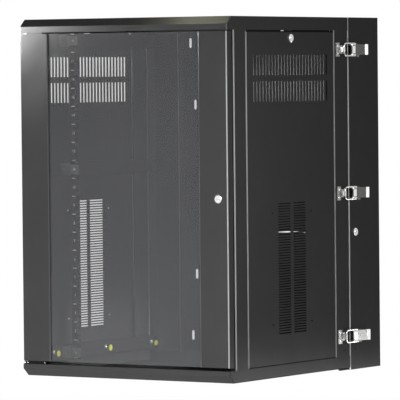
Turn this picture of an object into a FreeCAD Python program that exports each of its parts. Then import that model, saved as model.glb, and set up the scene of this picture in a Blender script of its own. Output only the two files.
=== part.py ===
import FreeCAD, Part
import math
import os
from FreeCAD import Vector

# Swing-out wall mount network cabinet, millimetres.
# The origin is the middle of the rear face that lies on the wall.
# +X is to the right seen from the front, +Y points into the wall, +Z is up.

# Rack standard
unit_pitch = 44.45
rack_opening = 450.0
hole_column_margin = 7.55
square_hole = 9.5
hole_steps = (6.35, 22.225, 38.1)

# Overall sizes
cabinet_width = 600.0
cabinet_height = 872.0
cabinet_depth = 531.0
wall_section_depth = 148.0
wall_section_drop = 5.0
seam_gap = 0.6
door_gap = 5.4
door_thickness = 24.0

# Sheet metal
frame_sheet = 2.0
door_sheet = 1.5
panel_sheet = 1.2
outer_bend = 3.0
strip_bend = 1.2

# Roof and floor pans with their front lips
roof_band = 32.5
floor_band = 29.5
lip_chamfer_depth = 20.0
lip_chamfer_height = 18.0
roof_slot_count = 12
roof_slot_pitch = 18.0
roof_slot_width = 6.0
roof_slot_length = 90.0
roof_slot_row_spacing = 130.0

# Corner posts
front_post_face = 54.2
front_post_flange = 16.0
rear_post_face = 67.4
rear_post_flange = 28.0
side_hole_radius = 2.0
side_hole_drop = 34.0
side_hole_offset = 25.0
panel_recess = 12.0
panel_ledge = 18.0

# Side channels between the posts
channel_height = 36.0
channel_depth = 14.0
channel_roof_gap = 1.5
channel_floor_gap = 1.5
middle_channel_z = 66.5

# Rack rails and their arms
rack_end_space = 65.0
rail_recess = 142.0
rail_share = 0.43
rail_leg = 40.0
rail_end_margin = 2.0
arm_height = 30.0
arm_leg = 50.0
arm_rail_leg = 30.0
arm_hole_radius = 2.75
bolt_radius = 2.5
bolt_head_radius = 4.5
bolt_head_height = 3.0
bolt_clearance = 0.2

# Door
door_side_inset = 1.5
door_top_gap = 3.0
door_bottom_gap = 8.0
stile_width = 80.8
stile_return = 15.5
glass_recess = 4.5
glass_thickness = 4.0
glass_overlap = 12.0
retainer_sheet = 1.5
retainer_foot = 14.0
seat_gap = 0.3
seal_inset = 3.0
hinge_pin_radius = 3.0
hinge_pin_inset = 12.0
hinge_pin_reach = 18.0
hinge_pin_head_radius = 5.0
hinge_pin_head_height = 3.0
hinge_leaf_length = 62.0
hinge_leaf_inset = 2.5
hinge_leaf_front = 2.5
hinge_leaf_rear = 24.0
hinge_leaf_sheet = 2.0
running_clearance = 0.05

# Side panels
panel_side_gap = 1.2
panel_top_gap = 3.0
panel_tab_width = 40.0
panel_tab_length = 10.0
panel_tab_spacing = 240.0
vent_count = 25
vent_pitch = 14.1
vent_width = 6.5
vent_length = 49.0
vent_row_drops = (81.3, 145.3)
louvre_rows = 51
louvre_pitch = 6.28
louvre_height = 3.0
louvre_length = 57.5
louvre_column_spacing = 70.5
louvre_bottom_rise = 74.6
panel_hole_radius = 2.5
panel_hole_spread = 180.0
panel_hole_rises = (98.5, 368.5)

# Cam locks
lock_head_radius = 9.8
lock_head_height = 3.5
lock_body_radius = 8.0
lock_plug_radius = 5.5
lock_plug_proud = 0.6
key_slot_width = 1.6
key_slot_length = 6.5
key_slot_depth = 2.0
cam_thickness = 2.5
cam_half_width = 5.5
cam_reach = 24.0
cam_clearance = 0.4
door_lock_inset = 25.8
door_lock_z = 2.0
panel_lock_drop = 19.5
wall_lock_y = -120.0
wall_lock_z = -98.0
wall_lock_body_length = 9.0
hook_half_width = 5.0
hook_nose = 7.5
hook_tip_length = 5.0
hook_slot_width = 7.5
hook_slot_margin = 1.0

# Swing hinge on the left of the seam
swing_hinge_margin = 136.0
swing_knuckle_radius = 4.0
swing_knuckle_clearance = 0.5
swing_pin_radius = 2.0
swing_leaf_sheet = 2.0
swing_leaf_width = 32.0
swing_leaf_height = 60.0
swing_leaf_relief = 5.0
swing_knuckle_gap = 0.3

# Toggle latches on the right of the seam
latch_margin = 80.0
latch_sheet = 1.5
latch_lift = 9.0
lever_pivot_y = -142.0
lever_throw = 15.0
lever_pin_radius = 1.5
lever_half_height = 13.0
lever_boss_radius = 5.0
lever_end_y = -87.5
lever_taper_y = -102.0
lever_web_start = 8.0
lever_curl = 6.0
tongue_overlap = 4.0
tongue_tip_lift = 1.4
tongue_tip_reach = 6.5
side_clearance = 0.3
bail_wire_radius = 2.0
bail_front_y = -181.3
bail_corner_radius = 9.0
keeper_front_y = -206.0
keeper_head_length = 17.0
keeper_head_height = 34.0
keeper_neck_height = 20.0
keeper_stem_height = 12.0
keeper_stem_reach = 11.0
keeper_lean = 0.087
keeper_clearance = 0.2
latch_base_front = 5.0
latch_base_rear = 47.0
latch_base_height = 28.0
latch_foot_rear = 13.0
latch_foot_drop = 4.5
latch_ear_foot = 5.0
latch_ear_radius = 4.5

# Wall section
wall_flange = 20.0
wall_slot_width = 8.0
wall_slot_length = 25.5
outer_slot_inset = 40.0
outer_slot_drop = 56.6
inner_slot_inset = 53.4
inner_slot_drop = 216.3
cable_opening_width = 360.0
cable_opening_height = 160.0
cable_opening_z = 90.0
cable_opening_corner = 10.0
tie_slot_width = 200.0
tie_slot_height = 3.0
tie_slot_z = -106.8
rest_tab_length = 40.0
rest_tab_width = 30.0
rest_tab_depth = 5.0
rest_tab_inset = 8.0

# Earth studs
stud_radius = 3.0
stud_length = 16.0
stud_rise = 50.5
stud_nut_radius = 5.0
stud_nut_height = 5.0
earth_disc_radius = 7.75
earth_disc_thickness = 0.4
earth_disc_shift = 22.0
earth_disc_drop = 4.5
front_stud_from_door = 108.0
rear_stud_from_door = 337.0
wall_stud_y = -139.5

# Places worked out from the sizes above
half_width = cabinet_width / 2
roof_z = cabinet_height / 2
floor_z = -roof_z
wall_bottom_z = floor_z - wall_section_drop
seam_y = -wall_section_depth
rear_y = seam_y - seam_gap
front_y = rear_y - cabinet_depth
door_back_y = front_y - door_gap
door_y = door_back_y - door_thickness
roof_edge_z = roof_z - roof_band
floor_edge_z = floor_z + floor_band
door_top_z = roof_edge_z - door_top_gap
door_bottom_z = floor_edge_z + door_bottom_gap
panel_front_y = front_y + front_post_face
panel_rear_y = rear_y - rear_post_face
panel_middle_y = (panel_front_y + panel_rear_y) / 2
panel_bottom_z = floor_edge_z + seat_gap
panel_top_z = roof_edge_z - panel_top_gap
ledge_x = half_width - panel_recess
channel_outer_x = ledge_x - frame_sheet
rail_y = door_y + rail_recess
rail_edge_x = rack_opening / 2
rail_side_x = rail_edge_x + rail_share * (channel_outer_x - rail_edge_x)
rack_units = math.floor((cabinet_height - rack_end_space) / unit_pitch)
rack_height = rack_units * unit_pitch
latch_x = half_width + latch_lift
latch_heights = {"top": roof_z - latch_margin, "middle": 0.0, "bottom": floor_z + latch_margin}
swing_hinge_heights = (roof_z - swing_hinge_margin, 0.0, floor_z + swing_hinge_margin)

# How a flat profile's own axes turn when it is pushed along each axis
TURN = {
    "x": FreeCAD.Matrix(0, 0, 1, 0, 1, 0, 0, 0, 0, 1, 0, 0, 0, 0, 0, 1),
    "y": FreeCAD.Matrix(0, 1, 0, 0, 0, 0, 1, 0, 1, 0, 0, 0, 0, 0, 0, 1),
    "z": FreeCAD.Matrix(),
}


def box(x0, x1, y0, y1, z0, z1):
    size = (x1 - x0, y1 - y0, z1 - z0)
    return Part.makeBox(size[0], size[1], size[2], Vector(x0, y0, z0))


def rod(centre, direction, radius, length):
    return Part.makeCylinder(radius, length, Vector(*centre), Vector(*direction))


def fuse(shapes):
    return shapes[0].fuse(shapes[1:]).removeSplitter()


def mirror_x(shape):
    return shape.mirror(Vector(0, 0, 0), Vector(1, 0, 0))


def save(name, shape):
    shape.exportStep("parts/" + name + ".step")


def extrude(face, axis, start, end):
    """Push a flat face along an axis. Its two coordinates are the next two axes in turn: y and z for
    axis x, z and x for axis y, x and y for axis z."""
    solid = face.extrude(Vector(0, 0, end - start))
    solid.translate(Vector(0, 0, start))
    return solid.transformShape(TURN[axis], True)


def polygon(points):
    corners = [Vector(u, v, 0) for u, v in points]
    return Part.Face(Part.makePolygon(corners + corners[:1]))


def rounded_run(points, radii):
    """Edges of an open path whose inner corners are arcs of the given radii, one per corner."""
    edges = []
    start = points[0]
    for corner, after, radius in zip(points[1:], points[2:], radii):
        back = (start - corner).normalize()
        ahead = (after - corner).normalize()
        half_turn = (math.pi - back.getAngle(ahead)) / 2
        reach = radius * math.tan(half_turn)
        enter = corner + back * reach
        leave = corner + ahead * reach
        to_middle = (back + ahead).normalize()
        centre = corner + to_middle * (radius / math.cos(half_turn))
        crown = centre - to_middle * radius
        edges.append(Part.LineSegment(start, enter).toShape())
        edges.append(Part.Arc(enter, crown, leave).toShape())
        start = leave
    edges.append(Part.LineSegment(start, points[-1]).toShape())
    return edges


def folded(points, sheet, bend):
    """Cross-section of a folded strip: points are its middle line, bend its inner bend radius."""
    line = [Vector(u, v, 0) for u, v in points]
    normals = []
    for first, second in zip(line, line[1:]):
        along = (second - first).normalize()
        normals.append(Vector(-along.y, along.x, 0))
    sides = []
    for side in (1, -1):
        shift = side * sheet / 2
        offset = [line[0] + normals[0] * shift]
        radii = []
        for corner, before, after in zip(line[1:], normals, normals[1:]):
            mean = (before + after).normalize()
            offset.append(corner + mean * (shift / mean.dot(after)))
            turn = before.x * after.y - before.y * after.x
            inner = turn * side > 0
            radii.append(bend if inner else bend + sheet)
        offset.append(line[-1] + normals[-1] * shift)
        sides.append((offset, radii))
    (left, left_radii), (right, right_radii) = sides
    edges = rounded_run(left, left_radii)
    edges.append(Part.LineSegment(left[-1], right[-1]).toShape())
    edges += rounded_run(right[::-1], right_radii[::-1])
    edges.append(Part.LineSegment(right[0], left[0]).toShape())
    return Part.Face(Part.Wire(Part.__sortEdges__(edges)))


def pan(edge, top):
    """Roof pan: flat sheet, side and rear flanges down to the edge, and a closed chamfered front lip."""
    sheet = frame_sheet
    chamfer_z = top - lip_chamfer_height
    chamfer_y = door_y + lip_chamfer_depth
    outline = [(door_y, edge), (door_y, chamfer_z), (chamfer_y, top), (rear_y, top), (rear_y, edge)]
    shell = extrude(polygon(outline), "x", -half_width, half_width)
    long_edges = []
    for line in shell.Edges:
        middle = line.CenterOfMass
        if abs(abs(middle.x) - half_width) < 0.01 and middle.z > edge + sheet and middle.y < rear_y - sheet:
            long_edges.append(line)
    shell = shell.makeFillet(outer_bend - 0.5, long_edges)
    slope = math.hypot(lip_chamfer_depth, lip_chamfer_height)
    drop = sheet * (slope - lip_chamfer_height) / lip_chamfer_depth
    inset = sheet * (slope - lip_chamfer_depth) / lip_chamfer_height
    lip_y = front_y + sheet
    hollow = [
        (door_y + sheet, edge + sheet),
        (door_y + sheet, chamfer_z - drop),
        (chamfer_y + inset, top - sheet),
        (rear_y - sheet, top - sheet),
        (rear_y - sheet, edge - sheet),
        (lip_y, edge - sheet),
        (lip_y, edge + sheet),
    ]
    inside = extrude(polygon(hollow), "x", sheet - half_width, half_width - sheet)
    return shell.cut(inside)


def pin_place(side):
    return side * (half_width - hinge_pin_inset), door_y + hinge_pin_inset


def roof():
    shape = pan(roof_edge_z, roof_z)
    x, y = pin_place(-1)
    cuts = [rod((x, y, roof_edge_z - 1), (0, 0, 1), hinge_pin_radius, frame_sheet + 2)]
    middle_y = (front_y + rear_y) / 2
    for row in (-1, 1):
        row_y = middle_y + row * roof_slot_row_spacing / 2
        for index in range(roof_slot_count):
            x = (index - (roof_slot_count - 1) / 2) * roof_slot_pitch
            half = roof_slot_width / 2
            reach = roof_slot_length / 2
            cuts.append(box(x - half, x + half, row_y - reach, row_y + reach, roof_z - 5, roof_z + 5))
    return shape.cut(cuts)


def floor():
    shape = pan(-floor_edge_z, -floor_z)
    shape = shape.mirror(Vector(0, 0, 0), Vector(0, 0, 1))
    x, y = pin_place(-1)
    return shape.cut(rod((x, y, floor_edge_z + 1), (0, 0, -1), hinge_pin_radius, frame_sheet + 2))


def front_post():
    half = frame_sheet / 2
    ledge = ledge_x - half
    path = [
        (half_width - front_post_flange, front_y + half),
        (half_width - half, front_y + half),
        (half_width - half, panel_front_y - half),
        (ledge, panel_front_y - half),
        (ledge, panel_front_y + panel_ledge),
    ]
    return extrude(folded(path, frame_sheet, strip_bend), "z", floor_edge_z, roof_edge_z)


def rear_post():
    half = frame_sheet / 2
    ledge = ledge_x - half
    path = [
        (half_width - rear_post_flange, rear_y - half),
        (half_width - half, rear_y - half),
        (half_width - half, panel_rear_y + half),
        (ledge, panel_rear_y + half),
        (ledge, panel_rear_y - panel_ledge),
    ]
    post = extrude(folded(path, frame_sheet, strip_bend), "z", floor_edge_z, roof_edge_z)
    return post.cut(side_hole(seam_y - side_hole_offset))


def side_hole(y):
    """Small hole through a side beside the seam, below the bottom latch."""
    z = latch_heights["bottom"] - side_hole_drop
    return rod((half_width - frame_sheet - 1, y, z), (1, 0, 0), side_hole_radius, frame_sheet + 2)


def hook_slot(y0, y1):
    """Slot in the two seam flanges that the wall section's lock hook turns through."""
    x1 = half_width - wall_lock_body_length + hook_slot_margin
    low = wall_lock_z - hook_half_width - hook_slot_margin / 2
    nose_radius = math.hypot(hook_reach(), hook_half_width + hook_nose)
    flange_distance = wall_lock_y - seam_y - frame_sheet
    high = wall_lock_z + math.sqrt(nose_radius ** 2 - flange_distance ** 2) + hook_slot_margin
    return box(x1 - hook_slot_width, x1, y0, y1, low, high)


def hook_reach():
    return wall_lock_y - rear_y + frame_sheet + cam_clearance + hook_tip_length


def channel(z):
    half = frame_sheet / 2
    inner = channel_outer_x - channel_depth
    top = z + channel_height / 2 - half
    low = z - channel_height / 2 + half
    path = [(low, inner), (low, channel_outer_x - half), (top, channel_outer_x - half), (top, inner)]
    return extrude(folded(path, frame_sheet, strip_bend), "y", front_y + frame_sheet, rear_y - frame_sheet)


def channel_heights():
    top = roof_edge_z - channel_roof_gap - channel_height / 2
    low = floor_edge_z + channel_floor_gap + channel_height / 2
    return {"top": top, "middle": middle_channel_z, "bottom": low}


def rail():
    """Rack rail: folded angle with three square holes per rack unit in its front flange."""
    half = frame_sheet / 2
    path = [
        (rail_edge_x, rail_y + half),
        (rail_side_x + half, rail_y + half),
        (rail_side_x + half, rail_y + rail_leg),
    ]
    reach = rack_height / 2 + rail_end_margin
    shape = extrude(folded(path, frame_sheet, strip_bend), "z", -reach, reach)
    x = rail_edge_x + hole_column_margin
    side = square_hole / 2
    cuts = []
    for unit in range(rack_units):
        for step in hole_steps:
            z = unit * unit_pitch + step - rack_height / 2
            cuts.append(box(x - side, x + side, rail_y - 1, rail_y + frame_sheet + 1, z - side, z + side))
    for z in channel_heights().values():
        cuts.append(rail_bolt_hole(z))
    return shape.cut(cuts)


def rail_bolt_hole(z):
    start = (rail_side_x - 1, rail_bolt_y(), z)
    return rod(start, (1, 0, 0), bolt_radius + bolt_clearance, 4 * frame_sheet)


def rail_bolt_y():
    return rail_y + arm_rail_leg / 2 + bolt_head_radius


def channel_bolt_y():
    return rail_y + arm_leg - 2 * bolt_head_radius


def rail_arm(z):
    """Bracket from the side channel to the rail: two legs and a front plate with one hole."""
    half = frame_sheet / 2
    rail_leg_x = rail_side_x + frame_sheet + half
    channel_leg_x = channel_outer_x - frame_sheet - half
    path = [
        (rail_leg_x, rail_y + arm_rail_leg),
        (rail_leg_x, rail_y + half),
        (channel_leg_x, rail_y + half),
        (channel_leg_x, rail_y + arm_leg),
    ]
    shape = extrude(folded(path, frame_sheet, strip_bend), "z", z - arm_height / 2, z + arm_height / 2)
    x = (rail_leg_x + channel_leg_x) / 2
    front_hole = rod((x, rail_y - 1, z), (0, 1, 0), arm_hole_radius, frame_sheet + 2)
    start = (channel_leg_x - frame_sheet, channel_bolt_y(), z)
    channel_hole = rod(start, (1, 0, 0), bolt_radius + bolt_clearance, 2 * frame_sheet)
    return shape.cut([front_hole, rail_bolt_hole(z), channel_hole])


def bolt(head_x, y, z, grip):
    """Hexagon-head bolt along +X: its head sits inboard of the face at head_x."""
    hexagon = Part.makePolygon([
        Vector(head_x - bolt_head_height, y + bolt_head_radius * math.cos(turn), z + bolt_head_radius * math.sin(turn))
        for turn in [math.radians(60 * side) for side in range(7)]
    ])
    head = Part.Face(hexagon).extrude(Vector(bolt_head_height, 0, 0))
    shank = rod((head_x - 0.5, y, z), (1, 0, 0), bolt_radius, grip + 0.5)
    return fuse([head, shank])


def rail_bolts():
    bolts = []
    for z in channel_heights().values():
        bolts.append(bolt(rail_side_x, rail_bolt_y(), z, 2 * frame_sheet + 2))
        arm_face = channel_outer_x - 2 * frame_sheet
        bolts.append(bolt(arm_face, channel_bolt_y(), z, 2 * frame_sheet))
    return Part.makeCompound(bolts + [mirror_x(one) for one in bolts])


def channel_with_hole(z):
    start = (channel_outer_x - 2 * frame_sheet, channel_bolt_y(), z)
    return channel(z).cut(rod(start, (1, 0, 0), bolt_radius + bolt_clearance, 3 * frame_sheet))


def stile():
    """Door stile: folded channel closed at both ends, open to the back."""
    half = door_sheet / 2
    outer = half_width - door_side_inset - half
    inner = outer + half - stile_width + half
    path = [
        (outer + half - stile_return, door_back_y - half),
        (outer, door_back_y - half),
        (outer, door_y + half),
        (inner, door_y + half),
        (inner, door_y + glass_recess),
    ]
    skin = extrude(folded(path, door_sheet, strip_bend), "z", door_bottom_z, door_top_z)
    cap_inner = inner + half + glass_overlap + 2 * retainer_sheet
    caps = []
    for low in (door_bottom_z, door_top_z - door_sheet):
        caps.append(box(cap_inner, outer, door_y + half, door_back_y - half, low, low + door_sheet))
    return fuse([skin] + caps)


def glass_edge_x():
    return half_width - door_side_inset - stile_width + glass_overlap


def stile_left():
    x, y = pin_place(-1)
    length = door_top_z - door_bottom_z + 2
    return mirror_x(stile()).cut(rod((x, y, door_bottom_z - 1), (0, 0, 1), hinge_pin_radius + running_clearance, length))


def lock_x():
    return half_width - door_side_inset - door_lock_inset


def stile_right():
    hole = rod((lock_x(), door_y - 1, door_lock_z), (0, 1, 0), lock_body_radius, door_sheet + 2)
    return stile().cut(hole)


def door_glass():
    edge = glass_edge_x()
    front = door_y + glass_recess
    return box(-edge, edge, front, front + glass_thickness, door_bottom_z, door_top_z)


def glass_seal():
    inner = glass_edge_x() - glass_overlap + seal_inset
    front = door_y + door_sheet
    return box(inner, glass_edge_x(), front, door_y + glass_recess, door_bottom_z, door_top_z)


def glass_retainer():
    half = retainer_sheet / 2
    behind = door_y + glass_recess + glass_thickness + seat_gap + half
    step_x = glass_edge_x() + seat_gap + half
    path = [
        (step_x + retainer_foot, door_y + door_sheet + half),
        (step_x, door_y + door_sheet + half),
        (step_x, behind),
        (step_x - glass_overlap, behind),
    ]
    margin = 2 * door_sheet
    strip = folded(path, retainer_sheet, retainer_sheet / 2)
    return extrude(strip, "z", door_bottom_z + margin, door_top_z - margin)


def hinge_pins():
    """Door pivot pins: the lower one has a shoulder that carries the door."""
    x, y = pin_place(-1)
    radius = hinge_pin_radius
    head = hinge_pin_head_radius
    tall = hinge_pin_head_height
    top = rod((x, y, door_top_z - hinge_pin_reach), (0, 0, 1), radius, hinge_pin_reach + door_top_gap + frame_sheet)
    top_nut = rod((x, y, roof_edge_z + frame_sheet), (0, 0, 1), head, tall)
    low_length = hinge_pin_reach + door_bottom_gap + frame_sheet
    low = rod((x, y, floor_edge_z - frame_sheet), (0, 0, 1), radius, low_length)
    low_nut = rod((x, y, floor_edge_z - frame_sheet - tall), (0, 0, 1), head, tall)
    shoulder = rod((x, y, floor_edge_z), (0, 0, 1), head, door_bottom_gap - seat_gap)
    return Part.makeCompound([fuse([top, top_nut]), fuse([low, low_nut, shoulder])])


def hinge_leaves():
    """Angles that stiffen the lips round the door's pivot pins and close the ends of its gaps."""
    x, y = pin_place(-1)
    x0 = hinge_leaf_inset - half_width
    x1 = x0 + hinge_leaf_length
    y0 = door_y + hinge_leaf_front
    y1 = door_y + hinge_leaf_rear
    sheet = hinge_leaf_sheet
    top = box(x0, x1, y0, y1, roof_edge_z - sheet, roof_edge_z)
    top_bore = rod((x, y, roof_edge_z + 1), (0, 0, -1), hinge_pin_radius, sheet + 2)
    low = box(x0, x1, y0, y1, floor_edge_z, floor_edge_z + sheet)
    leg = box(x0, x1, y0, y0 + sheet, floor_edge_z, door_bottom_z - 2 * seat_gap)
    low_bore = rod((x, y, floor_edge_z - 1), (0, 0, 1), hinge_pin_head_radius, sheet + 2)
    return Part.makeCompound([top.cut(top_bore), fuse([low, leg]).cut(low_bore)])


def lock_barrel(length):
    """Cam lock barrel along +Z with its head on the face z = 0 and its bore through."""
    head = Part.makeCylinder(lock_head_radius, lock_head_height)
    rim = head.Edges[0]
    for edge in head.Edges:
        if edge.CenterOfMass.z > rim.CenterOfMass.z:
            rim = edge
    head = head.makeChamfer(1.0, [rim])
    body = Part.makeCylinder(lock_body_radius, length, Vector(0, 0, -length))
    bore_length = length + lock_head_height + 2
    bore = Part.makeCylinder(lock_plug_radius + running_clearance, bore_length, Vector(0, 0, -length - 1))
    return fuse([head, body]).cut(bore)


def lock_plug(length):
    """Turning plug of a cam lock with its key slot, in the same place as its barrel."""
    top = lock_head_height + lock_plug_proud
    plug = Part.makeCylinder(lock_plug_radius, length + top, Vector(0, 0, -length))
    half = key_slot_width / 2
    reach = key_slot_length / 2
    return plug.cut(box(-half, half, -reach, reach, top - key_slot_depth, top + 1))


def cam():
    """Flat cam that points along +X from the plug, its face on z = 0 and its thickness below."""
    low = -cam_thickness
    arm = box(0, cam_reach - cam_half_width, -cam_half_width, cam_half_width, low, 0)
    tip = Part.makeCylinder(cam_half_width, cam_thickness, Vector(cam_reach - cam_half_width, 0, low))
    hub = Part.makeCylinder(lock_plug_radius + 1, cam_thickness, Vector(0, 0, low))
    return fuse([arm, tip, hub])


def put(shape, x_to, z_to, origin):
    """Turn a shape's +X and +Z onto the given directions and move it to the origin point."""
    x_axis = Vector(*x_to)
    z_axis = Vector(*z_to)
    y_axis = z_axis.cross(x_axis)
    rows = [(x_axis[i], y_axis[i], z_axis[i], origin[i]) for i in range(3)]
    return shape.transformShape(FreeCAD.Matrix(*rows[0], *rows[1], *rows[2], 0, 0, 0, 1), True)


def door_lock():
    origin = (lock_x(), door_y, door_lock_z)
    cam_face = front_y + frame_sheet + cam_clearance - door_y
    barrel = put(lock_barrel(cam_face - cam_clearance), (0, 0, -1), (0, -1, 0), origin)
    plug = put(lock_plug(cam_face), (0, 0, -1), (0, -1, 0), origin)
    at_back = (lock_x(), door_y + cam_face, door_lock_z)
    return barrel, plug, put(cam(), (0, 0, -1), (0, -1, 0), at_back)


def panel_lock_z():
    return roof_edge_z - panel_lock_drop


def panel_lock():
    origin = (half_width, panel_middle_y, panel_lock_z())
    cam_face = frame_sheet + cam_clearance
    barrel = put(lock_barrel(panel_sheet), (0, 1, 0), (1, 0, 0), origin)
    plug = put(lock_plug(cam_face), (0, 1, 0), (1, 0, 0), origin)
    inside = (half_width - cam_face, panel_middle_y, panel_lock_z())
    return barrel, plug, put(cam(), (0, 1, 0), (1, 0, 0), inside)


def side_panel():
    """Side panel: pan with rolled vertical edges, vent slots, louvre slots and tabs in the floor."""
    half = panel_sheet / 2
    depth = panel_recess - seat_gap
    y0 = panel_front_y + panel_side_gap
    y1 = panel_rear_y - panel_side_gap
    inner_x = half_width - depth
    path = [
        (inner_x, y0 + half),
        (half_width - half, y0 + half),
        (half_width - half, y1 - half),
        (inner_x, y1 - half),
    ]
    skin = extrude(folded(path, panel_sheet, outer_bend - panel_sheet), "z", panel_bottom_z, panel_top_z)
    pieces = [skin]
    inset = outer_bend + panel_sheet
    for low in (panel_bottom_z, panel_top_z - panel_sheet):
        pieces.append(box(inner_x, half_width - half, y0 + inset, y1 - inset, low, low + panel_sheet))
    tab_x = half_width - frame_sheet - seat_gap
    for side in (-1, 1):
        tab_y = panel_middle_y + side * panel_tab_spacing / 2
        tab_half = panel_tab_width / 2
        tab_low = panel_bottom_z - panel_tab_length
        tab_top = panel_bottom_z + panel_sheet
        pieces.append(box(tab_x - panel_sheet, tab_x, tab_y - tab_half, tab_y + tab_half, tab_low, tab_top))
    return fuse(pieces).cut(panel_cuts())


def panel_cuts():
    x0 = half_width - panel_sheet - 1
    x1 = half_width + 1
    cuts = []
    half = vent_width / 2
    for index in range(vent_count):
        y = panel_middle_y + (index - (vent_count - 1) / 2) * vent_pitch
        for drop in vent_row_drops:
            z = panel_top_z - drop
            reach = vent_length / 2
            cuts.append(box(x0, x1, y - half, y + half, z - reach, z + reach))
    for row in range(louvre_rows):
        z = panel_bottom_z + louvre_bottom_rise + row * louvre_pitch
        for side in (-1, 1):
            y = panel_middle_y + side * louvre_column_spacing / 2
            reach = louvre_length / 2
            cuts.append(box(x0, x1, y - reach, y + reach, z, z + louvre_height))
    for side in (-1, 1):
        y = panel_middle_y + side * panel_hole_spread / 2
        for rise in panel_hole_rises:
            cuts.append(rod((x0, y, panel_bottom_z + rise), (1, 0, 0), panel_hole_radius, x1 - x0))
    lock_z = panel_lock_z()
    cuts.append(rod((x0, panel_middle_y, lock_z), (1, 0, 0), lock_body_radius, x1 - x0))
    notch_x = half_width - panel_sheet - 0.3
    y0 = panel_middle_y - cam_half_width - 2
    y1 = panel_middle_y + cam_reach + 2 * cam_half_width
    cuts.append(box(notch_x - cam_thickness - 4, notch_x, y0, y1, panel_top_z - 2 * panel_sheet, panel_top_z + 1))
    return cuts


def wall_slots():
    """Vertical slots for the wall bolts, two on each side of two heights."""
    cuts = []
    half = wall_slot_width / 2
    reach = wall_slot_length / 2 - half
    for inset, drop in ((outer_slot_inset, outer_slot_drop), (inner_slot_inset, inner_slot_drop)):
        x = half_width - inset
        z = roof_z - drop
        for side_x in (-x, x):
            for side_z in (-z, z):
                y0 = -frame_sheet - 1
                for end in (side_z - reach, side_z + reach):
                    cuts.append(rod((side_x, y0, end), (0, 1, 0), half, frame_sheet + 2))
                cuts.append(box(side_x - half, side_x + half, y0, 1, side_z - reach, side_z + reach))
    return cuts


def back_plate():
    plate = box(-half_width, half_width, -frame_sheet, 0, wall_bottom_z, roof_z)
    wide = cable_opening_width / 2
    low = cable_opening_z - cable_opening_height / 2
    opening = box(-wide, wide, -frame_sheet - 1, 1, low, low + cable_opening_height)
    upright = [edge for edge in opening.Edges if abs(edge.tangentAt(edge.FirstParameter).y) > 0.9]
    tie = tie_slot_width / 2
    tie_low = tie_slot_z - tie_slot_height / 2
    tie_slot = box(-tie, tie, -frame_sheet - 1, 1, tie_low, tie_low + tie_slot_height)
    return plate.cut([opening.makeFillet(cable_opening_corner, upright), tie_slot] + wall_slots())


def wall_side():
    half = frame_sheet / 2
    path = [
        (half_width - wall_flange, seam_y + half),
        (half_width - half, seam_y + half),
        (half_width - half, -frame_sheet - half),
        (half_width - wall_flange, -frame_sheet - half),
    ]
    side = extrude(folded(path, frame_sheet, strip_bend), "z", wall_bottom_z, roof_z)
    return side.cut(side_hole(seam_y + side_hole_offset))


def wall_side_right():
    start = (half_width - 2 * frame_sheet, wall_lock_y, wall_lock_z)
    lock_hole = rod(start, (1, 0, 0), lock_body_radius, 3 * frame_sheet)
    return wall_side().cut([lock_hole, hook_slot(seam_y - 1, seam_y + frame_sheet + 1)])


def wall_cover(z, downward):
    """Top or bottom of the wall section: a sheet between the sides with a front flange."""
    half = frame_sheet / 2
    inner = half_width - frame_sheet
    web = z - downward * half
    path = [
        (seam_y + half, z - downward * wall_flange),
        (seam_y + half, web),
        (-2 * frame_sheet - strip_bend, web),
    ]
    shape = extrude(folded(path, frame_sheet, strip_bend), "x", -inner, inner)
    flange_back = seam_y + frame_sheet + strip_bend
    corners = []
    for side in (-1, 1):
        x0, x1 = sorted((side * inner, side * (half_width - wall_flange)))
        z0, z1 = sorted((z, z - downward * (wall_flange + 1)))
        corners.append(box(x0, x1, seam_y - 1, flange_back, z0 - 1, z1 + 1))
    return shape.cut(corners)


def rest_tab():
    """Inverted channel under the cabinet's right side that carries it when closed."""
    half = frame_sheet / 2
    x1 = half_width - rest_tab_inset
    x0 = x1 - rest_tab_width
    top = floor_z - seat_gap - half
    low = floor_z - seat_gap - rest_tab_depth
    path = [(low, x0 + half), (top, x0 + half), (top, x1 - half), (low, x1 - half)]
    return extrude(folded(path, frame_sheet, strip_bend), "y", seam_y - rest_tab_length, seam_y)


def wall_lock():
    origin = (half_width, wall_lock_y, wall_lock_z)
    barrel = put(lock_barrel(wall_lock_body_length), (0, 1, 0), (1, 0, 0), origin)
    hook_face = wall_lock_body_length + cam_clearance
    plug = put(lock_plug(hook_face), (0, 1, 0), (1, 0, 0), origin)
    reach = hook_reach()
    inner = reach - hook_tip_length
    nose = hook_half_width + hook_nose
    outline = [
        (-hook_half_width, -hook_half_width),
        (hook_half_width, -hook_half_width),
        (hook_half_width, reach),
        (-nose, reach),
        (-nose, inner),
        (-hook_half_width, inner),
    ]
    face = polygon(outline)
    x1 = half_width - hook_face
    hook = extrude(face, "x", x1 - cam_thickness, x1)
    hook.translate(Vector(0, wall_lock_y, wall_lock_z))
    return barrel, plug, hook


def swing_axis():
    x = -half_width - swing_knuckle_clearance - swing_knuckle_radius
    return x, (seam_y + rear_y) / 2


def swing_leaf(z, side, thirds, bore):
    """Hinge leaf on the left face: side +1 is the wall section's, -1 the cabinet's."""
    x, y = swing_axis()
    face = -half_width
    outer = face - swing_leaf_sheet
    low = z - swing_leaf_height / 2
    near = y + side * swing_leaf_relief
    far = y + side * swing_leaf_width
    y0, y1 = sorted((near, far))
    pieces = [box(outer, face, y0, y1, low, low + swing_leaf_height)]
    third = swing_leaf_height / 3
    bores = []
    for index in thirds:
        z0 = low + index * third + swing_knuckle_gap / 2
        height = third - swing_knuckle_gap
        knuckle = rod((x, y, z0), (0, 0, 1), swing_knuckle_radius, height)
        s0, s1 = sorted((y + side * 0.5, near + side))
        pieces.append(knuckle)
        pieces.append(box(outer, face, s0, s1, z0, z0 + height))
        bores.append(rod((x, y, z0 - 1), (0, 0, 1), bore, height + 2))
    return fuse(pieces).cut(bores)


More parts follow.
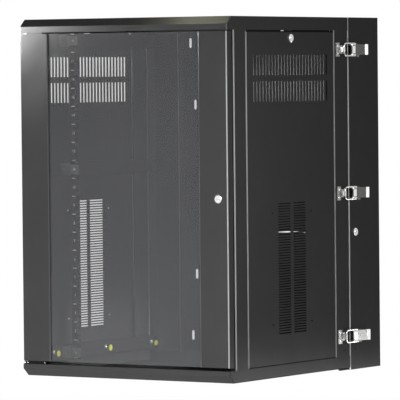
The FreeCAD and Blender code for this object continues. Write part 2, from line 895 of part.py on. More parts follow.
def swing_hinges():
    walls = []
    cabinets = []
    pins = []
    x, y = swing_axis()
    for z in swing_hinge_heights:
        walls.append(swing_leaf(z, 1, (1,), swing_pin_radius))
        cabinets.append(swing_leaf(z, -1, (0, 2), swing_pin_radius + running_clearance))
        low = z - swing_leaf_height / 2
        pin = rod((x, y, low - 1), (0, 0, 1), swing_pin_radius, swing_leaf_height + 2)
        head = rod((x, y, low + swing_leaf_height + swing_knuckle_gap), (0, 0, 1), swing_knuckle_radius, 2)
        pins.append(fuse([pin, head]))
    return Part.makeCompound(walls), Part.makeCompound(cabinets), Part.makeCompound(pins)


def latch_base(z):
    """Base plate on the wall section with two ears that hold the lever's pin."""
    y = lever_pivot_y
    tall = latch_base_height / 2
    x0 = half_width
    x1 = half_width + latch_sheet
    rear = y + latch_base_rear
    plate = box(x0, x1, y - latch_base_front, rear, z - tall, z + tall)
    foot = box(x0, x1, rear - latch_foot_rear, rear, z - tall - latch_foot_drop, z - tall)
    outer = lever_half_height - latch_sheet - side_clearance
    ears = []
    for low in (z - outer, z + outer - latch_sheet):
        root = half_width + latch_sheet / 2
        side = latch_ear_radius
        outline = [(root, y - latch_ear_foot), (root, y + latch_ear_foot), (latch_x, y + side), (latch_x, y - side)]
        ears.append(extrude(polygon(outline), "z", low, low + latch_sheet))
        ears.append(rod((latch_x, y, low), (0, 0, 1), side, latch_sheet))
    bore = rod((latch_x, y, z - outer - 1), (0, 0, 1), lever_pin_radius, 2 * outer + 2)
    return fuse([plate, foot] + ears).cut(bore)


def latch_pin(z):
    length = 2 * (lever_half_height - side_clearance / 3)
    return rod((latch_x, lever_pivot_y, z - length / 2), (0, 0, 1), lever_pin_radius, length)


def latch_lever(z):
    """Lever: outer web with a turned-out end and a sloped front tongue that runs between the base's
    ears, and two sides that carry the pin and the bail."""
    half = latch_sheet / 2
    web_x = latch_x + lever_boss_radius - half
    start = lever_pivot_y + lever_web_start
    path = [(web_x, start), (web_x, lever_end_y), (web_x + lever_curl, lever_end_y + lever_curl)]
    web = extrude(folded(path, latch_sheet, latch_sheet), "z", z - lever_half_height, z + lever_half_height)
    tongue_half = lever_half_height - 2 * (latch_sheet + side_clearance)
    tip = (latch_x + tongue_tip_lift, lever_pivot_y - tongue_tip_reach)
    slope = [(web_x, start + tongue_overlap), (web_x, start), tip]
    tongue = extrude(folded(slope, latch_sheet, latch_sheet), "z", z - tongue_half, z + tongue_half)
    pieces = [web, tongue]
    boss = lever_boss_radius
    bail_y = lever_pivot_y + lever_throw
    top_x = latch_x + boss - half
    for low in (z - lever_half_height, z + lever_half_height - latch_sheet):
        outline = [
            (latch_x - boss, lever_pivot_y),
            (latch_x - boss, bail_y),
            (top_x, lever_taper_y),
            (top_x, bail_y),
            (latch_x + boss, lever_pivot_y),
        ]
        pieces.append(extrude(polygon(outline), "z", low, low + latch_sheet))
        for y in (lever_pivot_y, bail_y):
            pieces.append(rod((latch_x, y, low), (0, 0, 1), boss, latch_sheet))
    long_bore = 2 * lever_half_height + 2
    low = z - lever_half_height - 1
    pivot = rod((latch_x, lever_pivot_y, low), (0, 0, 1), lever_pin_radius + running_clearance, long_bore)
    bail = rod((latch_x, bail_y, low), (0, 0, 1), bail_wire_radius + running_clearance, long_bore)
    return fuse(pieces).cut([pivot, bail])


def latch_bail(z):
    """Wire bail: two legs that end in the lever's sides and a straight front bar."""
    wide = lever_half_height + side_clearance + bail_wire_radius
    end_y = lever_pivot_y + lever_throw
    tip = lever_half_height - latch_sheet
    corner = bail_corner_radius
    elbow = bail_wire_radius + 0.5
    path = [(end_y, tip), (end_y, wide), (bail_front_y, wide), (bail_front_y, -wide), (end_y, -wide), (end_y, -tip)]
    points = [Vector(latch_x, y, z + height) for y, height in path]
    return bent_rod(rounded_run(points, [elbow, corner, corner, elbow]), bail_wire_radius)


def bent_rod(edges, radius):
    """Round rod along a path of straight edges and tangent arcs."""
    pieces = []
    for edge in edges:
        start = edge.valueAt(edge.FirstParameter)
        along = edge.tangentAt(edge.FirstParameter)
        disc = Part.Face(Part.Wire(Part.makeCircle(radius, start, along)))
        if isinstance(edge.Curve, Part.Line):
            pieces.append(disc.extrude(along * edge.Length))
            continue
        centre = edge.Curve.Center
        turn = (start - centre).cross(along)
        pieces.append(disc.revolve(centre, turn, math.degrees(edge.Length / edge.Curve.Radius)))
    return fuse(pieces)


def latch_keeper(z):
    """T-shaped keeper on the rear post with a short stem that the bail's bar pulls against."""
    x0 = half_width
    x1 = half_width + latch_sheet
    stem_y = bail_front_y + bail_wire_radius + keeper_clearance
    neck_end = stem_y + 2 * latch_sheet
    head = keeper_head_height / 2
    neck = keeper_neck_height / 2
    head_y = keeper_front_y + keeper_head_length
    plate = box(x0, x1, keeper_front_y, head_y, z - head, z + head)
    tongue = box(x0, x1, head_y - 0.5, neck_end, z - neck, z + neck)
    top = half_width + keeper_stem_reach
    lean_low = keeper_lean * (latch_x - x0)
    lean_top = keeper_lean * (top - latch_x)
    outline = [
        (x0, stem_y + lean_low),
        (top, stem_y - lean_top),
        (top, stem_y - lean_top + latch_sheet),
        (x0, stem_y + lean_low + latch_sheet),
    ]
    stem_half = keeper_stem_height / 2
    stem = extrude(polygon(outline), "z", z - stem_half, z + stem_half)
    return fuse([plate, tongue, stem])


def earth_places():
    """Foot of each earth stud on the left side, seen from inside: two on the channel, one on the wall side."""
    channel_x = channel_outer_x - frame_sheet
    return (
        (channel_x, door_y + front_stud_from_door),
        (channel_x, door_y + rear_stud_from_door),
        (half_width - frame_sheet, wall_stud_y),
    )


def earth_stud(x, y):
    z = floor_z + stud_rise
    shank = rod((x - stud_length, y, z), (1, 0, 0), stud_radius, stud_length)
    nut = rod((x - stud_nut_height, y, z), (1, 0, 0), stud_nut_radius, stud_nut_height)
    return mirror_x(fuse([shank, nut]))


def earth_disc(x, y):
    """Round sticker on the sheet just behind and below its stud."""
    z = floor_z + stud_rise - earth_disc_drop
    start = (x - earth_disc_thickness, y + earth_disc_shift, z)
    return mirror_x(rod(start, (1, 0, 0), earth_disc_radius, earth_disc_thickness))


def build():
    os.makedirs("parts", exist_ok=True)
    save("roof", roof())
    save("floor", floor())
    save("front_post_right", front_post())
    save("front_post_left", mirror_x(front_post()))
    slot = hook_slot(rear_y - frame_sheet - 1, rear_y + 1)
    save("rear_post_right", rear_post().cut(slot))
    save("rear_post_left", mirror_x(rear_post()))
    for level, z in channel_heights().items():
        save("side_channel_right_" + level, channel_with_hole(z))
        save("side_channel_left_" + level, mirror_x(channel_with_hole(z)))
    save("rail_right", rail())
    save("rail_left", mirror_x(rail()))
    arms = [rail_arm(z) for z in channel_heights().values()]
    save("rail_arms_right", Part.makeCompound(arms))
    save("rail_arms_left", Part.makeCompound([mirror_x(arm) for arm in arms]))
    save("rail_bolts", rail_bolts())

    save("door_stile_left", stile_left())
    save("door_stile_right", stile_right())
    save("door_glass", door_glass())
    save("glass_seals", Part.makeCompound([glass_seal(), mirror_x(glass_seal())]))
    save("glass_retainers", Part.makeCompound([glass_retainer(), mirror_x(glass_retainer())]))
    save("door_hinge_pins", hinge_pins())
    save("door_hinge_leaves", hinge_leaves())
    for name, shape in zip(("barrel", "plug", "cam"), door_lock()):
        save("door_lock_" + name, shape)

    panel = side_panel()
    save("side_panel_right", panel)
    save("side_panel_left", mirror_x(panel))
    for name, shape in zip(("barrel", "plug", "cam"), panel_lock()):
        save("panel_lock_right_" + name, shape)
        save("panel_lock_left_" + name, mirror_x(shape))

    save("back_plate", back_plate())
    save("wall_side_right", wall_side_right())
    save("wall_side_left", mirror_x(wall_side()))
    save("wall_top", wall_cover(roof_z, 1))
    save("wall_bottom", wall_cover(wall_bottom_z, -1))
    save("rest_tab", rest_tab())
    for name, shape in zip(("barrel", "plug", "hook"), wall_lock()):
        save("wall_lock_" + name, shape)
    for name, shape in zip(("hinge_wall_leaves", "hinge_cabinet_leaves", "hinge_pins"), swing_hinges()):
        save(name, shape)

    heights = latch_heights.values()
    save("latch_bases", Part.makeCompound([latch_base(z) for z in heights]))
    save("latch_pins", Part.makeCompound([latch_pin(z) for z in heights]))
    save("latch_keepers", Part.makeCompound([latch_keeper(z) for z in heights]))
    for level, z in latch_heights.items():
        save("latch_lever_" + level, latch_lever(z))
        save("latch_bail_" + level, latch_bail(z))

    front, rear, wall = earth_places()
    save("earth_studs_cabinet", Part.makeCompound([earth_stud(*front), earth_stud(*rear)]))
    save("earth_discs_cabinet", Part.makeCompound([earth_disc(*front), earth_disc(*rear)]))
    save("earth_stud_wall", earth_stud(*wall))
    save("earth_disc_wall", earth_disc(*wall))


build()
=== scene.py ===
import math

import bmesh
import bpy
from mathutils import Matrix, Vector


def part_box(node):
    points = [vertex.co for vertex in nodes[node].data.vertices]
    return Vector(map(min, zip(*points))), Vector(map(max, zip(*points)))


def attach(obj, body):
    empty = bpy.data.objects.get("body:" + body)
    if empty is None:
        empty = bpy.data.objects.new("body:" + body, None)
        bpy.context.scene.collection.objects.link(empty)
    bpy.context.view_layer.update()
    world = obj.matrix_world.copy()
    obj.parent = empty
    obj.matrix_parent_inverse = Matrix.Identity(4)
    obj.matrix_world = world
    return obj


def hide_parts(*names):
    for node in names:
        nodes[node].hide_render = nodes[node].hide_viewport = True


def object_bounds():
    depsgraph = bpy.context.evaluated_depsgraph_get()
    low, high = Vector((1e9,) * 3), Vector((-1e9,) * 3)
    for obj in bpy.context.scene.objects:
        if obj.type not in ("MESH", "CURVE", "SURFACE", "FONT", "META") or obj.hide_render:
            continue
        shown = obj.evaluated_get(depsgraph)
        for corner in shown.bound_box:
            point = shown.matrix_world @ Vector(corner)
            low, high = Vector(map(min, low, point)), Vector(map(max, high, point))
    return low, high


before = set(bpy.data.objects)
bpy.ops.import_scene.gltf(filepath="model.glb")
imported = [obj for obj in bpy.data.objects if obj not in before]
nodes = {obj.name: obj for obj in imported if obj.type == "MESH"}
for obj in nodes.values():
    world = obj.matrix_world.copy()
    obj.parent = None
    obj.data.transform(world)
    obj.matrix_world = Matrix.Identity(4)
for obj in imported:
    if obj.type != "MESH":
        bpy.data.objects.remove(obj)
cad_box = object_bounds()

# Every sheet of the cabinet is folded steel under a black satin powder coat. It has a fine orange-peel
# skin, and its gloss drifts a little from place to place. Its folds carry a painted highlight: a paler
# colour, full on folds that face the front right or up, fainter on the others.
sides = ("left", "right")
coat_black = (0.05, 0.05, 0.051, 1)
coat_worn = (0.06, 0.06, 0.061, 1)
coat_fold_highlight = (0.5, 0.5, 0.505, 1)
coat_gloss = (0.22, 0.26)
coat_shine = 0.02
coat_dust = 0.6
gloss_patch_size = 0.09
peel_size = 0.0016
peel_depth = 0.00006
peel_strength = 0.12
dust_tilt = (0.8, 0.98)


def grey(level):
    return (level, level, level, 1)


def new_finish(name):
    finish = bpy.data.materials.new(name)
    finish.use_nodes = True
    return finish, finish.node_tree, finish.node_tree.nodes["Principled BSDF"]


def split_coordinate(tree, kind):
    """The X, Y and Z outputs of a texture coordinate, such as Object or Normal."""
    place = tree.nodes.new("ShaderNodeTexCoord")
    split = tree.nodes.new("ShaderNodeSeparateXYZ")
    tree.links.new(place.outputs[kind], split.inputs["Vector"])
    return split.outputs


def link_noise(tree, size, detail):
    place = tree.nodes.new("ShaderNodeTexCoord")
    noise = tree.nodes.new("ShaderNodeTexNoise")
    noise.inputs["Scale"].default_value = 1 / size
    noise.inputs["Detail"].default_value = detail
    tree.links.new(place.outputs["Object"], noise.inputs["Vector"])
    return noise.outputs["Fac"]


def link_range(tree, source, low, high, start=0.3, end=0.7):
    """Map a value from start..end to low..high. Noise mostly stays between 0.3 and 0.7."""
    spread = tree.nodes.new("ShaderNodeMapRange")
    spread.inputs["From Min"].default_value = start
    spread.inputs["From Max"].default_value = end
    spread.inputs["To Min"].default_value = low
    spread.inputs["To Max"].default_value = high
    tree.links.new(source, spread.inputs["Value"])
    return spread.outputs["Result"]


def link_mix(tree, source, first, second):
    """Mix two tones, each of them a colour or a socket."""
    mix = tree.nodes.new("ShaderNodeMix")
    mix.data_type = "RGBA"
    tree.links.new(source, mix.inputs["Factor"])
    for key, tone in (("A", first), ("B", second)):
        if isinstance(tone, bpy.types.NodeSocket):
            tree.links.new(tone, mix.inputs[key])
        else:
            mix.inputs[key].default_value = tone
    return mix.outputs["Result"]


def link_bump(tree, shader, size, detail, strength, depth):
    bump = tree.nodes.new("ShaderNodeBump")
    bump.inputs["Strength"].default_value = strength
    bump.inputs["Distance"].default_value = depth
    tree.links.new(link_noise(tree, size, detail), bump.inputs["Height"])
    tree.links.new(bump.outputs["Normal"], shader.inputs["Normal"])


def link_gloss(tree, shader, source, gloss, dusted):
    """Roughness that drifts over a range and rises by dusted on faces that look up, where dust lies."""
    total = tree.nodes.new("ShaderNodeMath")
    total.operation = "ADD"
    tree.links.new(link_range(tree, source, *gloss), total.inputs[0])
    upward = split_coordinate(tree, "Normal")["Z"]
    tree.links.new(link_range(tree, upward, 0, dusted, *dust_tilt), total.inputs[1])
    tree.links.new(total.outputs["Value"], shader.inputs["Roughness"])


def fold_highlight_mask(tree, axes, far_side):
    """Where the painted highlight goes: 1 on a fold between two axes that faces the front right or front
    top, far_side on the others.

    The product of a normal's two parts, plus 0.5, is 0 or 1 on a fold and 0.5 on a flat face.
    """
    parts = split_coordinate(tree, "Normal")
    both = tree.nodes.new("ShaderNodeMath")
    both.operation = "MULTIPLY_ADD"
    tree.links.new(parts[axes[0]], both.inputs[0])
    tree.links.new(parts[axes[1]], both.inputs[1])
    both.inputs[2].default_value = 0.5
    steps = tree.nodes.new("ShaderNodeValToRGB")
    ramp = steps.color_ramp
    ramp.elements[0].position = 0.2
    ramp.elements[0].color = grey(1)
    ramp.elements[1].position = 0.46
    ramp.elements[1].color = grey(0)
    ramp.elements.new(0.55).color = grey(0)
    ramp.elements.new(0.9).color = grey(far_side)
    tree.links.new(both.outputs["Value"], steps.inputs["Fac"])
    return steps.outputs["Color"]


def powder_coat(name, colour, worn, gloss, fold_highlight=coat_fold_highlight, axes="XY", far_side=0.25):
    finish, tree, shader = new_finish(name)
    patches = link_noise(tree, gloss_patch_size, 3)
    flat = link_mix(tree, patches, colour, worn)
    # The folds' paler colour is a painted highlight.
    folds = link_mix(tree, fold_highlight_mask(tree, axes, far_side), flat, fold_highlight)
    tree.links.new(folds, shader.inputs["Base Color"])
    link_gloss(tree, shader, patches, gloss, coat_dust)
    shader.inputs["Specular IOR Level"].default_value = coat_shine
    link_bump(tree, shader, peel_size, 2, peel_strength, peel_depth)
    return finish


def dress(finish, *names):
    for name in names:
        for slot in nodes[name].material_slots:
            slot.material = finish


outside_coat = powder_coat("outside_coat", coat_black, coat_worn, coat_gloss)
dress(outside_coat, "wall_side_left", "wall_top", "wall_bottom", "rest_tab")
dress(outside_coat, "door_stile_right", "hinge_wall_leaves", "hinge_cabinet_leaves")
for side in sides:
    dress(outside_coat, "front_post_" + side, "rear_post_" + side, "side_panel_" + side)
# Copies of the coat differ in their painted fold highlight: near white on the right wall side by the seam,
# faint on the roof and the left stile, and on the floor only on its front top folds.
seam_coat = powder_coat("seam_coat", coat_black, coat_worn, coat_gloss, grey(0.9))
dress(seam_coat, "wall_side_right")
roof_coat = powder_coat("roof_coat", coat_black, coat_worn, coat_gloss, grey(0.16))
dress(roof_coat, "roof")
floor_coat = powder_coat("floor_coat", coat_black, coat_worn, coat_gloss, grey(0.5), "YZ", 0)
dress(floor_coat, "floor")
stile_coat = powder_coat("stile_coat", coat_black, coat_worn, coat_gloss, grey(0.1))
dress(stile_coat, "door_stile_left", "glass_retainers")
# The door's hinge leaves sit in the gaps over and under the door. Their near-black coat is painted shade
# for those dark gaps.
leaf_shade_coat = powder_coat("leaf_shade_coat", grey(0.01), grey(0.016), (0.3, 0.4), grey(0.03))
dress(leaf_shade_coat, "door_hinge_leaves")

# The steel inside has the same kind of coat, darker: near black on the channels and rack rails, and grey on
# the arms that carry the rails. The back plate is darker still, as painted shade for the dim depth seen
# through the vents and louvres.
levels = ("top", "middle", "bottom")
inside_black = (0.03, 0.03, 0.031, 1)
inside_worn = (0.042, 0.042, 0.043, 1)
inside_coat = powder_coat("inside_coat", inside_black, inside_worn, (0.36, 0.44), grey(0.12))
back_shade_black = (0.02, 0.02, 0.0205, 1)
back_shade_worn = (0.028, 0.028, 0.0285, 1)
back_shade_coat = powder_coat("back_shade_coat", back_shade_black, back_shade_worn, (0.4, 0.5))
dress(back_shade_coat, "back_plate")
arm_grey = (0.24, 0.24, 0.245, 1)
arm_worn = (0.29, 0.29, 0.295, 1)
arm_coat = powder_coat("arm_coat", arm_grey, arm_worn, (0.4, 0.5), grey(0.26))
for side in sides:
    dress(inside_coat, "rail_" + side)
    dress(arm_coat, "rail_arms_" + side)
    for level in levels:
        dress(inside_coat, "side_channel_%s_%s" % (side, level))

# The door pane is tempered glass, 4 mm thick, drawn as a mostly see-through grey film on both faces. The
# film's pale grey is a painted reflection haze, beside the glass's own weak reflection, and it carries a
# trace of dust. Black rubber strips lie under its edges.
reflection_haze_dark = (0.165, 0.168, 0.176, 1)
reflection_haze_pale = (0.185, 0.188, 0.196, 1)
film_gloss = (0.1, 0.14)
film_dust = 0.8
film_patch_size = 0.2
film_cover = 0.26
glass_shine = 0.25
glass_index = 1.5
rubber_grain_size = 0.004
pane, tree, shader = new_finish("smoked_glass")
dust = link_noise(tree, film_patch_size, 3)
tree.links.new(link_mix(tree, dust, reflection_haze_dark, reflection_haze_pale), shader.inputs["Base Color"])
link_gloss(tree, shader, dust, film_gloss, film_dust)
shader.inputs["IOR"].default_value = glass_index
shader.inputs["Specular IOR Level"].default_value = glass_shine
shader.inputs["Alpha"].default_value = film_cover
dress(pane, "door_glass")

rubber, tree, shader = new_finish("seal_rubber")
shade = link_mix(tree, link_noise(tree, rubber_grain_size, 2), grey(0.008), grey(0.014))
tree.links.new(shade, shader.inputs["Base Color"])
shader.inputs["Roughness"].default_value = 0.75
shader.inputs["Specular IOR Level"].default_value = coat_shine
dress(rubber, "glass_seals")

# Latches, pins, bolts and cams are steel with zinc plate. It has drawn marks, and its colour carries
# painted light:
# painted shade on the flats that face sideways and a painted highlight on every bend and edge. The wire of
# the bails has it the other way round, and each lever has a painted highlight in a band on its nose, where
# it turns on its pin.
mark_size = 0.006
mark_shade = 0.7
scratch_size = 0.0007
scratch_depth = 0.00004
scratch_strength = 0.1
flat_turn = (0.86, 0.98)
edge_highlight_zinc = (0.8, 0.8, 0.78, 1)
nose_from_tip = 0.00914
nose_half_width = 0.0054
nose_highlight_tone = (0.72, 0.72, 0.71, 1)


def plated(name, painted_edge_tone, painted_flat_tone, gloss):
    finish, tree, shader = new_finish(name)
    marks = link_noise(tree, mark_size, 4)
    flat_dark = [channel * mark_shade for channel in painted_flat_tone[:3]] + [1]
    facing = tree.nodes.new("ShaderNodeMath")
    facing.operation = "ABSOLUTE"
    tree.links.new(split_coordinate(tree, "Normal")["X"], facing.inputs[0])
    painted_flat_mask = link_range(tree, facing.outputs["Value"], 0, 1, *flat_turn)
    tone = link_mix(tree, painted_flat_mask, painted_edge_tone, link_mix(tree, marks, painted_flat_tone, flat_dark))
    tree.links.new(tone, shader.inputs["Base Color"])
    tree.links.new(link_range(tree, marks, *gloss), shader.inputs["Roughness"])
    shader.inputs["Metallic"].default_value = 1
    link_bump(tree, shader, scratch_size, 3, scratch_strength, scratch_depth)
    return finish


# Used for a painted highlight on each lever's rounded nose.
def nose_highlight_band(finish, middle_y, half_width, tone):
    """Give a finish another tone between two places along the depth."""
    tree = finish.node_tree
    colour = tree.nodes["Principled BSDF"].inputs["Base Color"]
    band = tree.nodes.new("ShaderNodeMath")
    band.operation = "COMPARE"
    band.inputs[1].default_value = middle_y
    band.inputs[2].default_value = half_width
    tree.links.new(split_coordinate(tree, "Object")["Y"], band.inputs[0])
    plain = colour.links[0].from_socket
    tree.links.new(link_mix(tree, band.outputs["Value"], plain, tone), colour)


zinc = plated("bright_zinc", (0.78, 0.78, 0.76, 1), (0.5, 0.5, 0.49, 1), (0.16, 0.3))
top_lever_shade_zinc = plated("top_lever_shade_zinc", edge_highlight_zinc, (0.085, 0.085, 0.083, 1), (0.2, 0.32))
middle_lever_shade_zinc = plated("middle_lever_shade_zinc", edge_highlight_zinc, (0.1, 0.1, 0.098, 1), (0.2, 0.32))
bottom_lever_light_zinc = plated("bottom_lever_light_zinc", edge_highlight_zinc, (0.34, 0.34, 0.33, 1), (0.24, 0.36))
wire_zinc = plated("wire_zinc", (0.34, 0.34, 0.33, 1), (0.75, 0.75, 0.74, 1), (0.16, 0.3))
keeper_zinc = plated("keeper_zinc", (0.66, 0.66, 0.65, 1), (0.34, 0.34, 0.335, 1), (0.22, 0.36))
base_zinc = plated("base_zinc", (0.3, 0.3, 0.29, 1), (0.12, 0.12, 0.118, 1), (0.2, 0.3))
chrome = plated("lock_chrome", (0.8, 0.8, 0.8, 1), (0.7, 0.7, 0.7, 1), (0.08, 0.18))
dress(base_zinc, "latch_bases")
dress(keeper_zinc, "latch_keepers")
dress(zinc, "latch_pins", "rail_bolts", "door_hinge_pins", "hinge_pins")
dress(zinc, "door_lock_cam", "wall_lock_hook")
dress(chrome, "door_lock_barrel", "door_lock_plug", "wall_lock_barrel", "wall_lock_plug")
# The levers' copies of zinc are painted light: their flats are darker on the top and middle levers and
# lighter on the bottom one.
for level, finish in zip(levels, (top_lever_shade_zinc, middle_lever_shade_zinc, bottom_lever_light_zinc)):
    lever_tip_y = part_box("latch_lever_" + level)[0][1]
    nose_highlight_band(finish, lever_tip_y + nose_from_tip, nose_half_width, nose_highlight_tone)
    dress(finish, "latch_lever_" + level)
    dress(wire_zinc, "latch_bail_" + level)
for side in sides:
    dress(zinc, "panel_lock_%s_cam" % side)
    dress(chrome, "panel_lock_%s_barrel" % side, "panel_lock_%s_plug" % side)

# The earth studs are brass bolts with nuts under bright tin, left rough. One stands in the wall section,
# the others on the left bottom channel of the cabinet.
tin_grain_size = 0.003
tin_pale = (0.95, 0.95, 0.93, 1)
tin_dark = (0.8, 0.8, 0.78, 1)
tin, tree, shader = new_finish("stud_tin")
grains = link_noise(tree, tin_grain_size, 3)
tree.links.new(link_mix(tree, grains, tin_pale, tin_dark), shader.inputs["Base Color"])
shader.inputs["Metallic"].default_value = 0.3
shader.inputs["Roughness"].default_value = 0.4
dress(tin, "earth_studs_cabinet", "earth_stud_wall")

# The discs are yellow stickers with green bars. Each is stuck flat to the steel beside an earth stud
# and marks it.
sticker_yellow = (0.98, 0.9, 0.06, 1)
sticker_green = (0.66, 0.82, 0.08, 1)
bar_scale = 55
sticker, tree, shader = new_finish("earth_sticker")
place = tree.nodes.new("ShaderNodeTexCoord")
bars = tree.nodes.new("ShaderNodeTexWave")
bars.bands_direction = "Z"
bars.inputs["Scale"].default_value = bar_scale
tree.links.new(place.outputs["Object"], bars.inputs["Vector"])
tint = link_mix(tree, bars.outputs["Fac"], sticker_yellow, sticker_green)
tree.links.new(tint, shader.inputs["Base Color"])
shader.inputs["Roughness"].default_value = 0.4
dress(sticker, "earth_discs_cabinet", "earth_disc_wall")

# White marks are screen printed on the front flange of each rack rail: a number from 1 to 18 beside the
# middle hole of every unit, counted from the bottom, and a short dash where two units meet.
unit_pitch = 0.04445
unit_count = 18
number_height = 0.0074
figure_share = 0.72
number_inset = 0.0124
dash_size = (0.0112, 0.0023)
print_lift = 0.00012
ink_pale = (0.95, 0.95, 0.93, 1)
ink_faded = (0.75, 0.75, 0.74, 1)
fading_size = 0.01
print_ink, tree, shader = new_finish("print_ink")
fading = link_noise(tree, fading_size, 3)
tree.links.new(link_mix(tree, fading, ink_pale, ink_faded), shader.inputs["Base Color"])
shader.inputs["Roughness"].default_value = 0.6


def keep_mesh(name, mesh, finish):
    """Make a bmesh an object at the origin that wears a finish, and link it."""
    data = bpy.data.meshes.new(name)
    mesh.to_mesh(data)
    mesh.free()
    data.materials.append(finish)
    thing = bpy.data.objects.new(name, data)
    bpy.context.scene.collection.objects.link(thing)
    return thing


def keep_piece(name, mesh, finish, body):
    """Keep a bmesh as a piece that rides a body."""
    piece = keep_mesh(name, mesh, finish)
    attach(piece, body)
    return piece


def figure_mesh(text, height):
    """Mesh data of a number, flat and centred on the origin."""
    curve = bpy.data.curves.new("figure_curve", "FONT")
    curve.body = text
    curve.size = height / figure_share
    curve.align_x = "CENTER"
    curve.align_y = "CENTER"
    writer = bpy.data.objects.new("figure", curve)
    bpy.context.scene.collection.objects.link(writer)
    bpy.context.view_layer.update()
    data = bpy.data.meshes.new_from_object(writer)
    bpy.data.objects.remove(writer)
    return data


def rail_print(side, number_x):
    low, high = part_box("rail_" + side)
    front_y = low[1] - print_lift
    middle_z = (low[2] + high[2]) / 2
    mesh = bmesh.new()
    upright = Matrix.Rotation(math.radians(90), 4, "X")
    for unit in range(unit_count):
        z = middle_z + (unit - (unit_count - 1) / 2) * unit_pitch
        data = figure_mesh(str(unit + 1), number_height)
        before = set(mesh.verts)
        mesh.from_mesh(data)
        fresh = [vert for vert in mesh.verts if vert not in before]
        place = Matrix.Translation((number_x, front_y, z))
        bmesh.ops.transform(mesh, matrix=place @ upright, verts=fresh)
    for seam in range(unit_count + 1):
        z = middle_z + (seam - unit_count / 2) * unit_pitch
        dash = bmesh.ops.create_grid(mesh, x_segments=3, y_segments=1, size=0.5)["verts"]
        bmesh.ops.scale(mesh, vec=(dash_size[0], dash_size[1], 1), verts=dash)
        place = Matrix.Translation((number_x, front_y, z))
        bmesh.ops.transform(mesh, matrix=place @ upright, verts=dash)
    keep_piece("rail_print_" + side, mesh, print_ink, "cabinet")


rail_print("left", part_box("rail_left")[0][0] + number_inset)
rail_print("right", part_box("rail_right")[1][0] - number_inset)

# Rivets with low domed heads of bright zinc: two hold each latch keeper beside the seam, and three run
# along the front of the door's lower hinge leaf.
sheet = 0.0015
keeper_rivet_size = (0.0022, 0.0011)
keeper_rivet_inset = 0.008
keeper_rivet_reach = 0.0095
leaf_rivet_size = (0.0014, 0.0008)
leaf_rivet_height = 0.0035
leaf_rivet_insets = (0.0025, 0.01)
leaf_rivet_end = 0.001
right_face_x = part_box("side_panel_right")[1][0]


def domed_heads(name, places, outward, size, finish=zinc):
    """Heads on the cabinet that face outward. A size is the head's radius and its height."""
    radius, height = size
    mesh = bmesh.new()
    turn = Vector((0, 0, 1)).rotation_difference(Vector(outward)).to_matrix().to_4x4()
    for place in places:
        ball = bmesh.ops.create_uvsphere(mesh, u_segments=16, v_segments=10, radius=1)["verts"]
        bmesh.ops.scale(mesh, vec=(radius, radius, height), verts=ball)
        bmesh.ops.transform(mesh, matrix=Matrix.Translation(place) @ turn, verts=ball)
    for face in mesh.faces:
        face.smooth = True
    keep_piece(name, mesh, finish, "cabinet")


keeper_front_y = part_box("latch_keepers")[0][1]
places = []
for level in levels:
    lever_low, lever_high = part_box("latch_lever_" + level)
    lever_z = (lever_low[2] + lever_high[2]) / 2
    for reach in (-keeper_rivet_reach, keeper_rivet_reach):
        places.append((right_face_x + sheet, keeper_front_y + keeper_rivet_inset, lever_z + reach))
domed_heads("keeper_rivets", places, (1, 0, 0), keeper_rivet_size)
leaf_low, leaf_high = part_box("door_hinge_leaves")
places = []
rivet_line = [leaf_low[0] + inset for inset in leaf_rivet_insets] + [leaf_high[0] - leaf_rivet_end]
for x in rivet_line:
    places.append((x, leaf_low[1], leaf_low[2] + leaf_rivet_height))
domed_heads("door_leaf_rivets", places, (0, -1, 0), leaf_rivet_size)

# Black rubber trim runs along the top and bottom edges of each side panel, and a rubber strip glued inside
# the roof's side flange closes the gap over it, open at the lock's cam. These black strips are painted
# shade, put to darken the panel's gaps. A small plated strike in that gap keeps the panel from rattling.
post_clear = 0.0015
cam_clear = 0.004
glue_gap = 0.0002
strip_thickness = 0.0018
strip_height = 0.0095
strip_lift = 0.0005
strike_size = (0.0014, 0.014, 0.0022)
strike_depth = 0.0008
strike_from_lock = 0.0275
trim_thickness = 0.0008
trim_height = 0.0022
trim_sunk = 0.0002
trim_end_gap = 0.001
top_trim_drop = 0.0012
bottom_trim_rise = 0.0016
trim_round = 0.0004
roof_edge_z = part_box("roof")[0][2]
tray_edge_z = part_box("floor")[1][2]


def add_bar(mesh, size, place, edge_round):
    """Add a bar with rounded edges to a bmesh."""
    bar = bmesh.ops.create_cube(mesh, size=1)["verts"]
    bmesh.ops.scale(mesh, vec=size, verts=bar)
    bmesh.ops.translate(mesh, vec=place, verts=bar)
    edges = [edge for edge in mesh.edges if edge.verts[0] in bar and edge.verts[1] in bar]
    bmesh.ops.bevel(
        mesh, geom=edges, offset=edge_round, segments=2, profile=0.5, affect="EDGES", material=-1
    )


def trim_bar(name, size, place, finish, body):
    mesh = bmesh.new()
    add_bar(mesh, size, place, trim_round)
    keep_piece(name, mesh, finish, body)


def gap_shade_strip(name, x, front_y, rear_y, z):
    size = (strip_thickness, rear_y - front_y, strip_height)
    trim_bar(name, size, (x, (front_y + rear_y) / 2, z), rubber, "cabinet")


